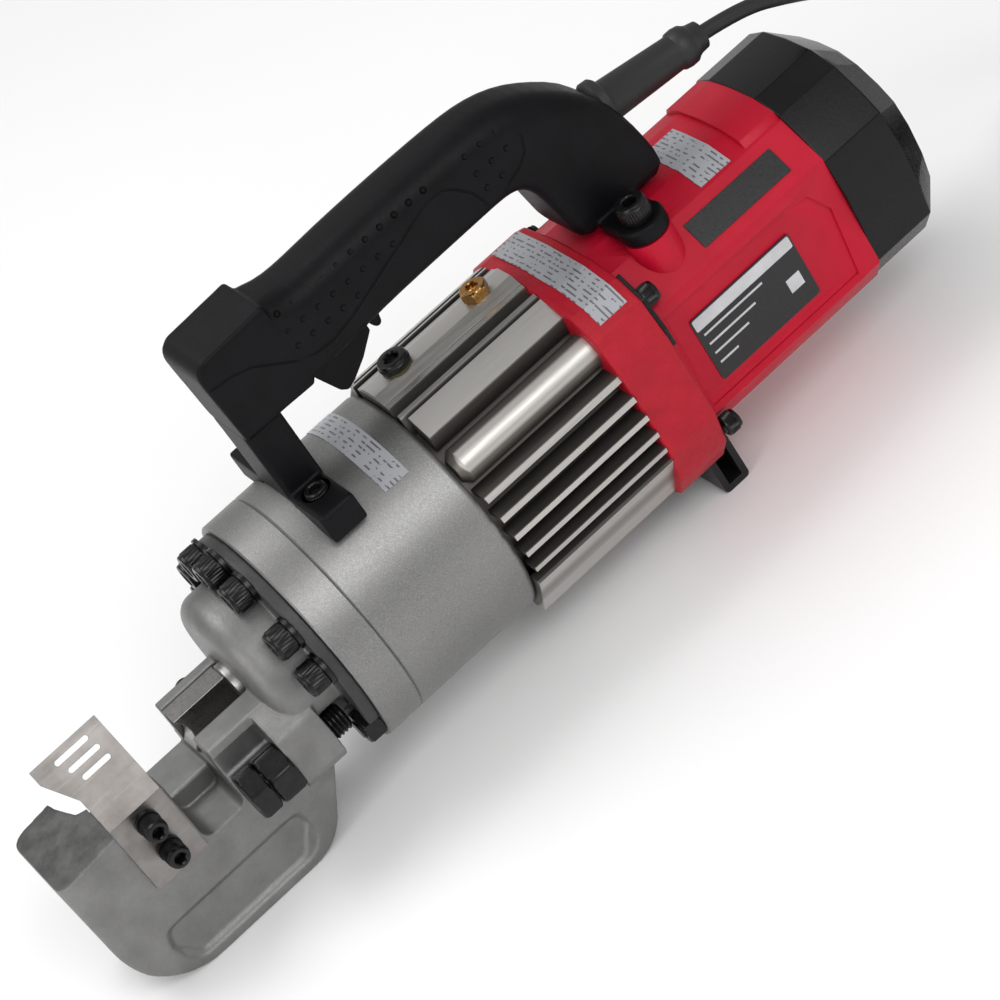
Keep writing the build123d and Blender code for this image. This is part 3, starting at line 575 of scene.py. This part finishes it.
floor_mesh = bpy.data.meshes.new("floor")
floor_mesh.from_pydata([(-6, -6, 0), (6, -6, 0), (6, 6, 0), (-6, 6, 0)], [], [(0, 1, 2, 3)])
floor = bpy.data.objects.new("floor", floor_mesh)
bpy.context.scene.collection.objects.link(floor)
floor.location.z = -0.0002
floor_mesh.materials.append(mottled("floor", (0.93, 0.93, 0.93), (0.95, 0.95, 0.95), 3, 40, 0.0, 0.75, 0.8,
                                    0.0, 0.2).mat)


# ---------------------------------------------------------------- handle

# each station of the grip: a point on its top line, the one below it, the half width and the corner radius
GRIP = [((36, 117.6), (36, 82), 14.6, 7.0), ((42.5, 118.2), (42, 82), 14.8, 8.5),
        ((46, 117), (45, 82), 15, 9.5),
        ((52, 115.9), (51, 82.3), 15, 10.5), ((62, 116.1), (61, 83), 15, 11),
        ((76, 117), (76, 84.4), 15, 11),
        ((95, 117.4), (94, 84.8), 15, 11), ((115, 117.4), (113, 85), 15, 11),
        ((132, 117), (127, 85.2), 15, 11),
        ((143, 116.2), (135, 85.2), 15, 11), ((153, 114), (139.5, 84.2), 15, 11),
        ((163, 109.4), (142.3, 82.2), 15, 10.5), ((172, 102.5), (144, 79.6), 15, 10),
        ((181, 94), (145.6, 76), 15, 7.5),
        ((186.6, 84), (146.6, 71.5), 15, 5.5), ((189.6, 72), (147.6, 65.5), 15, 4),
        ((191.4, 60), (149, 57.5), 15, 3.5),
        ((192.4, 47), (150.9, 47), 15, 3)]
# dimples on the grip's sides: X, Z and how far in from the middle plane
DIMPLES = ([(44.2 + 6.68 * i, 112.4 - 0.16 * i, 13.6) for i in range(11)]
           + [(43.6 + 6.8 * i, 104.7 - 0.21 * i, 15.0) for i in range(8)]
           + [(43.6 + 6.8 * i, 97.9 - 0.2 * i, 15.0) for i in range(5)]
           + [(130 + 7 * i, 110 - 0.1 * i, 14.2) for i in range(3)] + [(130 + 7 * i, 102 - 0.1 * i,
                                                                        15.0) for i in range(3)]
           + [(130.5, 95, 15.0), (137.5, 94.8, 15.0)])
SEAM = [(4, 109.5), (9.4, 107.7), (18, 106.6), (26, 104), (33, 99), (40.4, 93.6), (47, 91), (54.6, 90.4),
        (65, 92.5),
        (75.2, 95.7), (85, 99), (95.7, 102.3), (103, 105), (109.4, 106.6), (116, 106.4), (120.4, 103.1),
        (124.5, 98), (126.9, 92), (127.5, 84)]
ELBOW_SEAM = [(144.1, 121), (147.5, 117.4), (150.3, 110), (150.9, 101.4), (149, 96), (144.7, 92.7),
              (138.5, 90.6),
              (132.5, 87), (130, 82)]
CORNER_STEPS = 7
GRIP_LOWER_R = 4.5


def rounded_ring(top, bottom, half, radius):
    """A rounded rectangle across the handle between two points of its side view, fuller on top."""
    high, low = at(top[0], 0, top[1]), at(bottom[0], 0, bottom[1])
    middle, up = (high + low) / 2, (high - low).normalized()
    tall, wide = (high - low).length / 2, half * MM
    ring = []
    for quarter, (side, rise) in enumerate(((1, 1), (-1, 1), (-1, -1), (1, -1))):
        r = (radius if rise > 0 else min(radius, GRIP_LOWER_R)) * MM
        corner = middle + Vector((0, side * (wide - r), 0)) + up * rise * (tall - r)
        for i in range(CORNER_STEPS):
            angle = math.radians(90) * (quarter + i / (CORNER_STEPS - 1))
            ring.append(corner + Vector((0, r * math.cos(angle), 0)) + up * r * math.sin(angle))
    return ring


def handle_form():
    """Both halves of the bridge handle as one rounded moulding."""
    grip = tool_object("handle_shell", loft([rounded_ring(*station) for station in GRIP]))
    refine = grip.modifiers.new("refine", "SUBSURF")
    refine.levels = 1
    bake(grip)
    front = [(9.5, 82), (8.4, 108), (8.3, 112.5), (9.5, 115.5), (13, 118), (41.5, 119.4), (41.5, 81.6),
             (27, 82)]
    parts = [rounded(tool_object("front_block", slab(front, -15.3, 15.3)), 2.2, 4)]
    leg = [(9.5, 49), (25.2, 49), (25.6, 84), (9.3, 84)]
    parts.append(rounded(tool_object("front_leg", slab(leg, -12.9, 12.9)), 1.6, 3))
    nub = [(70.8, 88), (70.8, 79), (72, 76), (73.6, 75), (75.2, 76), (76, 80), (78.5, 84.6), (82, 88)]
    parts.append(rounded(tool_object("nub", slab(nub, -4.6, 4.6)), 0.8, 2))
    for side in (-1, 1):
        near, far = sorted((side * 11.5, side * 36.5))
        parts.append(rounded(tool_object("saddle", slab(box_outline(9.5, 24.5, 40.5, 52.5), near, far)),
                             1.0, 2))
        near, far = sorted((side * 13, side * 29))
        parts.append(rounded(tool_object("ear", slab(box_outline(158, 176, 46.6, 53), near, far)), 0.8, 2))
        boss = turned([(0, 9.2), (0.4, 9.5), (5.9, 9.5), (6.4, 9.0)], at(167, side * 29, 46.6), (0, 0, 1))
        parts.append(tool_object("boss", boss))
    union = bmesh.new()
    for part in [grip] + parts:
        bake(part)
        union.from_mesh(part.data)
    for part in [grip] + parts:
        discard(part)
    shell = soften(tool_object("handle_shell", union), 0.62, 5)
    for side in (-1, 1):
        hole = turned([(0, 5.9), (20, 5.9)], at(17.5, side * 20, 49.5), (0, 0, 1))
        carve(shell, tool_object("hole", hole))
        carve(shell, tube("groove", [at(x, side * (15.4 if x < 42 else 15.05), z) for x, z in SEAM], 0.55))
        carve(shell,
              tube("groove",
                   [at(x, side * (11.5 + 3.6 * min(1, (122 - z) / 12)), z) for x, z in ELBOW_SEAM], 0.55))
    dimples = bmesh.new()
    for x, z, y in DIMPLES:
        for side in (-1, 1):
            spot = Matrix.Translation(at(x, side * (y + 0.55), z))
            bmesh.ops.create_icosphere(dimples, subdivisions=2, radius=1.45 * MM, matrix=spot)
    carve(shell, tool_object("dimples", dimples))
    slot_cut = slab(box_outline(42.6, 70.4, 74, 90), -6.4, 6.4)
    return crisp(carve(shell, tool_object("slot", slot_cut)), 40)


handle = handle_form()
finish_piece(handle, "black_plastic", stands_for=("handle_left", "handle_right"))


# ---------------------------------------------------------------- carried-over nodes with rounded edges

EDGE_RADII = {"trigger": 0.8, "gear_housing": 0.35, "badge": 0.2, "tail_cap": 0.45,
              "support_foot": 0.6, "fixed_cutter": 0.4,
              "moving_cutter": 0.4, "guard_plate": 0.25, "plug_body": 1.5, "plug_pins": 0.3}
for name, radius in EDGE_RADII.items():
    NODES[name].data.shade_smooth()
    rounded(NODES[name], radius)


# ---------------------------------------------------------------- cutter head

def round_corners(points, radius, steps=6):
    """An outline with its corners replaced by arcs."""
    out = []
    for i, here in enumerate(points):
        here, back, ahead = Vector(here), Vector(points[i - 1]), Vector(points[(i + 1) % len(points)])
        a, b = (back - here).normalized(), (ahead - here).normalized()
        half = math.acos(max(-1, min(1, a.dot(b)))) / 2
        reach = radius / math.tan(half)
        for k in range(steps + 1):
            t = k / steps
            out.append(tuple((here + a * reach) * (1 - t) ** 2 + here * 2 * t * (1 - t)
                             + (here + b * reach) * t ** 2))
    return out


def sunk_panel(outline, side, surface, depth, slope, radius):
    """A shallow tray cutter for a side face: its walls lean by the slope."""
    middle = sum((Vector(p) for p in outline), Vector((0, 0))) / len(outline)
    rings = []
    for inward, grow in ((-0.6, slope * 0.6 / depth), (0, 0), (depth, -slope)):
        ring = []
        for x, z in round_corners(outline, radius):
            away = Vector((x, z)) - middle
            scale = Vector((1 + grow * 2 / PANEL_SPAN[0], 1 + grow * 2 / PANEL_SPAN[1]))
            ring.append(at(middle.x + away.x * scale.x, side * (surface - inward),
                           middle.y + away.y * scale.y))
        rings.append(ring)
    return tool_object("tray", loft(rings))


PANEL_SPAN = (65, 20)
head = copy_node("cast_head", "cutter_head")
for side in (-1, 1):
    panel = [(-122, -43), (-57.5, -43), (-56, -50), (-64, -63.5), (-116, -63.5), (-124, -52)]
    carve(head, sunk_panel(panel, side, 22.5, 2.3, 2.2, 4.5))
NOSE_R = 6.5
for side in (-1, 1):
    arc = [(-140.5 + NOSE_R * (1 - math.cos(a)), side * (22.5 - NOSE_R * (1 - math.sin(a))))
           for a in (math.radians(90 * i / 8) for i in range(9))]
    plan = [(-142, side * (22.5 - NOSE_R))] + arc + [(-140.5 + NOSE_R, side * 24), (-142, side * 24)]
    carve(head, tool_object("corner", loft([[at(x, y, z) for x, y in plan] for z in (-70, 8)])))
plugs = bmesh.new()
plugs.from_mesh(head.data)
for angle in (-76.5, -54, -22.5, 0, 22.5, 54, 76.5):
    across = math.radians(angle)
    hole_at = at(-21, -43 * math.sin(across), 43 * math.cos(across))
    turned([(0, 4.35), (5, 4.35)], hole_at, (1, 0, 0), plugs)
discard(head)
head = tool_object("cast_head", plugs)
soften(head, 0.55, 3)
finish_piece(head, "cast_steel", stands_for=("cutter_head",))


# ---------------------------------------------------------------- screws, nuts and the stopper bolt

def polar(radius, degrees):
    """Y and Z of a point at an angle from +Z towards -Y."""
    angle = math.radians(degrees)
    return -radius * math.sin(angle), radius * math.cos(angle)


def fastener(name, node, bm):
    """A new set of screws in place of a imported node."""
    return finish_piece(crisp(tool_object(name, bm)), SLOT_OF[node], NODES[node]["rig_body"],
                        stands_for=(node,))


def hex_head(height, flats, inner):
    """Profile of a chamfered hexagon from an inner radius at its foot to its flat top."""
    profile = [(0, inner)]
    for depth, grow in ((0, 0), (0.35, 0.6), (0.8, 1.35), (1.4, 3.0)):
        profile.append((depth, hexagon(flats, flats * 0.48 + grow)))
    for depth, grow in ((1.4, 3.0), (0.8, 1.35), (0.35, 0.6), (0, 0)):
        profile.append((height - depth, hexagon(flats, flats * 0.48 + grow)))
    return profile


bm = bmesh.new()
for angle in (-76.5, -54, -22.5, 0, 22.5, 54, 76.5):
    cap_screw(at(-22.6, *polar(43, angle)), (-1, 0, 0), 6.2, 8.0, 6.0, 4.0, 16, bm)
fastener("head_screw_set", "head_screws", bm)

bm = bmesh.new()
for angle in (-128, 128):
    y, z = polar(43, angle)
    turned(thread(0, 10, 4.0, 1.25, 0.55) + [(18, 3.4)], at(-24.3, y, z), (1, 0, 0), bm)
    turned(hex_head(7.5, 13, 4.05) + [(7.5, 4.05)], at(-23.5, y, z), (1, 0, 0), bm, bore=True)
fastener("head_stud_set", "head_studs", bm)

bm = bmesh.new()
for z, tip in ((-0.5, 21.5), (-15, 17)):
    cap_screw(at(-101, -26, z), (0, -1, 0), 4.5, 8.0, 4.2, 2.9, tip, bm)
fastener("guard_screw_set", "guard_screws", bm)

bm = bmesh.new()
for side in (-1, 1):
    cap_screw(at(17.5, side * 20, 49.5), (0, 0, 1), 4.6, 4.4, 4.6, 3.0, 19, bm)
fastener("front_handle_screw_set", "front_handle_screws", bm)

bm = bmesh.new()
for side in (-1, 1):
    cap_screw(at(167, side * 29, 53), (0, 0, 1), 6.2, 8.0, 5.4, 3.0, 22, bm)
fastener("rear_handle_screw_set", "rear_handle_screws", bm)

bm = cap_screw(at(71, 0, 56.2), (0, 0, 1), 6.3, 3.8, 5.6, 4.4, 10.2, bmesh.new())
fastener("oil_filler_plug", "oil_plug", bm)

bm = bmesh.new()
for y, z in ((-41.5, 34.5), (39.5, 32), (-44, -30), (44, -30)):
    cap_screw(at(147.6, y, z), (1, 0, 0), 4.3, 6.4, 3.6, 2.5, 13.6, bm)
fastener("band_screw_set", "band_screws", bm)

bm = turned(hex_head(4.6, 9.87, 2.9) + [(4.6, 2.6), (5.0, 2.4), (4.6, 2.0), (3.0, 1.9), (3.0, 0)],
            at(110, 0, 55), (0, 0, 1))
turned([(0, 2.3), (0.5, 2.9), (9, 2.9)], at(110, 0, 46), (0, 0, 1), bm)
fastener("vent_screw", "bleed_screw", bm)

BOLT = (-33.0, -16.7)
bm = turned(hex_head(8, 18.5, 0.0) + [(8, 6.0), (12, 6.0)] + thread(12, 44.4, 6.0, 1.75,
                                                                    0.75) + [(45, 4.6), (45, 0)],
            at(-69.5, *BOLT), (1, 0, 0))
fastener("stopper_screw", "stopper_bolt", bm)
bm = turned(hex_head(10.4, 19, 6.1) + [(10.4, 6.1)], at(-60.9, *BOLT), (1, 0, 0), bore=True)
fastener("stopper_nut", "stopper_locknut", bm)


# ---------------------------------------------------------------- coil springs

STEPS_PER_TURN = 20
WIRE_SIDES = 8


def coil_spring(name, start, axis, length, radius, wire, turns):
    """A wound spring along an axis, in millimetres; radius is to the wire's middle, wire is its radius."""
    axis = Vector(axis)
    side = axis.orthogonal().normalized()
    other = axis.cross(side)
    rings = []
    steps = turns * STEPS_PER_TURN
    for i in range(steps + 1):
        angle = math.tau * turns * i / steps
        outward = side * math.cos(angle) + other * math.sin(angle)
        along = wire + (length - 2 * wire) * i / steps
        middle = Vector(start) + axis * along * MM + outward * radius * MM
        rings.append([middle + (outward * math.cos(t) + axis * math.sin(t)) * wire * MM
                      for t in (math.tau * k / WIRE_SIDES for k in range(WIRE_SIDES))])
    return crisp(tool_object(name, loft(rings)), 60)


spring = coil_spring("piston_return_coil", at(-36, 0, 0), (1, 0, 0), 45.5, 15.3, 1.5, 6)
finish_piece(spring, "steel", stands_for=("return_spring",))
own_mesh(spring)
spring = coil_spring("trigger_return_coil", at(54, 0, 98), (0, 0, 1), 5.0, 2.6, 0.25, 4)
finish_piece(spring, "steel", stands_for=("trigger_spring",))
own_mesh(spring)
spring = coil_spring("plunger_return_coil", at(79, 0, 10), (0, 0, 1), 10.0, 3.9, 0.6, 5)
finish_piece(spring, "steel", stands_for=("plunger_spring",))


# ---------------------------------------------------------------- flange, motor case and its plates

BAND = [(0, 51), (24, 48.2), (36, 41.5), (44, 33.5), (49.5, 21), (51, 6), (51, -18), (45, -35), (34, -47),
        (27, -49),
        (-27, -49), (-34, -47), (-45, -35), (-51, -18), (-51, 21), (-47, 38), (-38, 45.5), (-24, 49.6)]
band = tool_object("band", prism(BAND, 123, 146))
carve(band, tool_object("bore", turned([(0, 36), (18, 36), (18, 11), (30, 11)], at(122, 0, 0), (1, 0, 0))))
finish_piece(crisp(bake(rounded(band, 1.3, 4)), 13), "red_casting", stands_for=("motor_flange",))

case = copy_node("motor_case", "motor_housing")
for side in (-1, 1):
    outer = [(149, 22.5), (221, 22.5), (230.5, 8), (228, -26), (147.5, -26)]
    inner = [(152, 20.6), (210, 20.6), (221, 5), (218, -19), (151.5, -19)]
    rings = [[at(x, side * y, z) for x, z in ring] for ring,
             y in ((outer, 43.3), (outer, 42.6), (inner, 40.1))]
    carve(case, tool_object("tray", loft(rings)))
    boss = turned([(0, 0.0), (0, 6.0), (1.2, 8.2), (3.0, 9.2), (23.6, 9.2), (23.6, 0)],
                  at(167, side * 29, 22.6), (0, 0, 1))
    column = tool_object("column", boss)
    carve(column, tool_object("bore", turned([(0, 39.05), (90, 39.05)], at(145, 0, 0), (1, 0, 0))))
    carve(case, column, "UNION")
finish_piece(crisp(bake(rounded(case, 0.7, 4)), 13), "red_plastic", stands_for=("motor_housing",))

for side in (-1, 1):
    strip = [(36, 45.6), (46, 37.2), (49.8, 24), (49.8, 16), (44, 16), (44, 25), (41, 34.4), (33, 41.2)]
    if side > 0:
        strip = [(31, 43.4), (42.6, 33), (48, 22), (48, 16), (44, 16), (44, 25), (40, 31.6), (29, 41)]
    clip = tool_object("clip_strip", prism([(side * y, z) for y, z in strip], 146, 147.7))
    finish_piece(rounded(clip, 0.3, 2), "black_oxide")

base = tool_object("rating_plate",
                   slab(round_corners(box_outline(158.5, 208, -17, 12.5), 1.6, 4), -40.5, -40.1))
finish_piece(base, "label_dark", stands_for=("nameplate",))
bars = slab(round_corners(box_outline(159.2, 207.3, 6.6, 11.8), 0.8, 3), -40.7, -40.4)
for row, (start, stop) in enumerate(((161, 190), (161, 184), (161, 178), (161, 170))):
    slab(box_outline(start, stop, 3.4 - 4.6 * row, 4.3 - 4.6 * row), -40.6, -40.4, bars)
slab(box_outline(198, 204.5, -9, -3), -40.6, -40.4, bars)
finish_piece(tool_object("rating_plate_bars", bars), "plate_white")

boot_axis = Vector((49, 0, -6))
boot_length = boot_axis.length
profile = [(-3, 6), (-1, 9.6), (0.2, 10.6), (3.2, 10.6), (4.0, 9.9), (4.4, 8.4), (5.2, 8.0), (36, 6.9),
           (37, 6.9), (38, 7.6)]
profile += [(40.5, 7.9), (43.2, 7.6), (44.6, 6.6), (46, 6.0), (boot_length, 5.5), (boot_length, 3.2),
            (boot_length - 2, 3.1)]
boot = tool_object("cord_boot", turned(profile + [(boot_length - 2, 0)], at(184, 0, 80.5), boot_axis))
finish_piece(crisp(boot), "rubber", stands_for=("strain_relief",))


# ---------------------------------------------------------------- mains lead

CORD_D = 6.0
BENCH = -67.5
ROUTE = [(233, 0, 74.5), (252, 0, 71.4), (271, 0.5, 61.5), (290, 3, 48.5), (311, 6, 31), (332.5, 10, 11.5),
         (354.5, 13, -9), (373, 12, -30.5), (385.5, 4, -48), (392.5, -11, -60), (395, -29, -64.5),
         (393, -46, -64.5)]
COIL = (355.0, -36.0)
TURNS_A_LAYER = 2
COIL_LAYERS = 4
COIL_TURNS = 7.78
POINTS_A_TURN = 16


def coil_points():
    """The wound turns: each layer spirals between the outer and the inner turn, then steps up."""
    points = []
    outer, inner, start = 39.0, 27.0, -20.0
    for i in range(1, round(COIL_TURNS * POINTS_A_TURN)):
        turn = i / POINTS_A_TURN
        layer = int(turn / TURNS_A_LAYER)
        across = turn / TURNS_A_LAYER - layer
        step_up = max(0.0, 1 - (1 - across) * TURNS_A_LAYER * 6) if layer < COIL_LAYERS - 1 else 0.0
        if layer % 2:
            across = 1 - across
        radius = outer + (inner - outer) * across
        height = BENCH + CORD_D * (0.5 + layer + step_up)
        angle = math.radians(start - 360 * turn)
        points.append((COIL[0] + radius * math.cos(angle), COIL[1] + radius * math.sin(angle), height))
    return points


TAIL_R = 34.5
TAIL_STEP = 27.5
TAIL_RISE = [-2, 2.6, 6, 9, 9]
PLUG_TURN = math.radians(-131.7)


def tail_points():
    """The last half turn on top of the coil, up to the plug."""
    angles = [math.radians(90 + TAIL_STEP * (k + 0.5)) for k in (3, 2, 1, 0)]
    flat = [(TAIL_R * math.cos(a) - 5, TAIL_R * math.sin(a) - 4) for a in angles]
    flat.append((flat[-1][0] + 16.5, flat[-1][1]))
    cos, sin = math.cos(PLUG_TURN), math.sin(PLUG_TURN)
    top = BENCH + COIL_LAYERS * CORD_D
    return [(COIL[0] + a * cos - b * sin, COIL[1] + a * sin + b * cos, top + rise)
            for (a, b), rise in zip(flat, TAIL_RISE)]


def smooth_curve(name, points, radius):
    """A round tube on one NURBS spline."""
    data = bpy.data.curves.new(name, "CURVE")
    data.dimensions = "3D"
    data.bevel_depth = radius
    data.bevel_resolution = 5
    data.resolution_u = 8
    spline = data.splines.new("NURBS")
    spline.points.add(len(points) - 1)
    for point, place in zip(spline.points, points):
        point.co = (*place, 1)
    spline.order_u = 3
    spline.use_endpoint_u = True
    obj = bpy.data.objects.new(name, data)
    bpy.context.scene.collection.objects.link(obj)
    return obj


lead = smooth_curve("mains_lead", [at(*p) for p in ROUTE + coil_points() + tail_points()], CORD_D / 2 * MM)
lead.data.materials.append(MATERIALS["rubber"])
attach(lead, "root")
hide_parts("power_cord", "cord_coil", "cord_tail")
